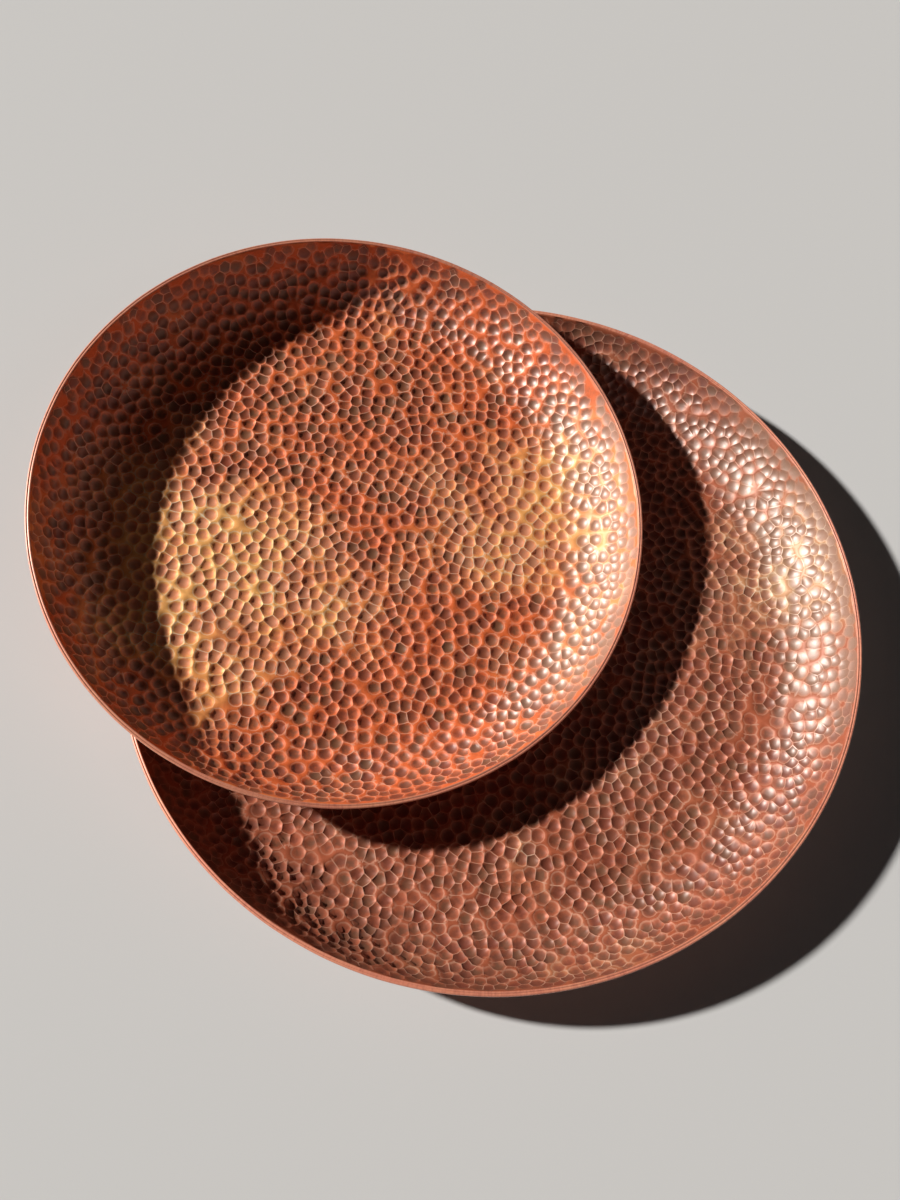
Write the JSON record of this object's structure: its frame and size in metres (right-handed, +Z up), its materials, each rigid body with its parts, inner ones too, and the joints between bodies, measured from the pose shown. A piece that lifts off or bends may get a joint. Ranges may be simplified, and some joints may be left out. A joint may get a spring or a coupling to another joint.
{
  "type": "tea tray",
  "caption": "Round hammered copper-toned tea trays with coved walls and smooth rim hoops, the smaller leaning in the larger on a flat non-slip base.",
  "frame": {"origin": "on the table at the middle of the larger tray's base pad", "axes": "+Z up, +X to the right and +Y away from the viewer of the picture"},
  "size_m": [0.3319, 0.3152, 0.064],
  "materials": {
    "beaten_copper": "hammered and darkened in the hollows, satin clear coat",
    "rim_copper": "smooth, satin",
    "base_pad": "matt"
  },
  "bodies": {
    "large_tray": {"large_dish": "beaten_copper", "large_rim_hoop": "rim_copper", "large_base_pad": "base_pad"},
    "small_tray": {"small_dish": "beaten_copper", "small_rim_hoop": "rim_copper", "small_base_pad": "base_pad"}
  },
  "joints": [
    {"name": "small_tray_lift", "type": "slide", "parent": "large_tray", "child": "small_tray", "axis": [0, 0, 1], "range_m": [0, 0.12]}
  ]
}
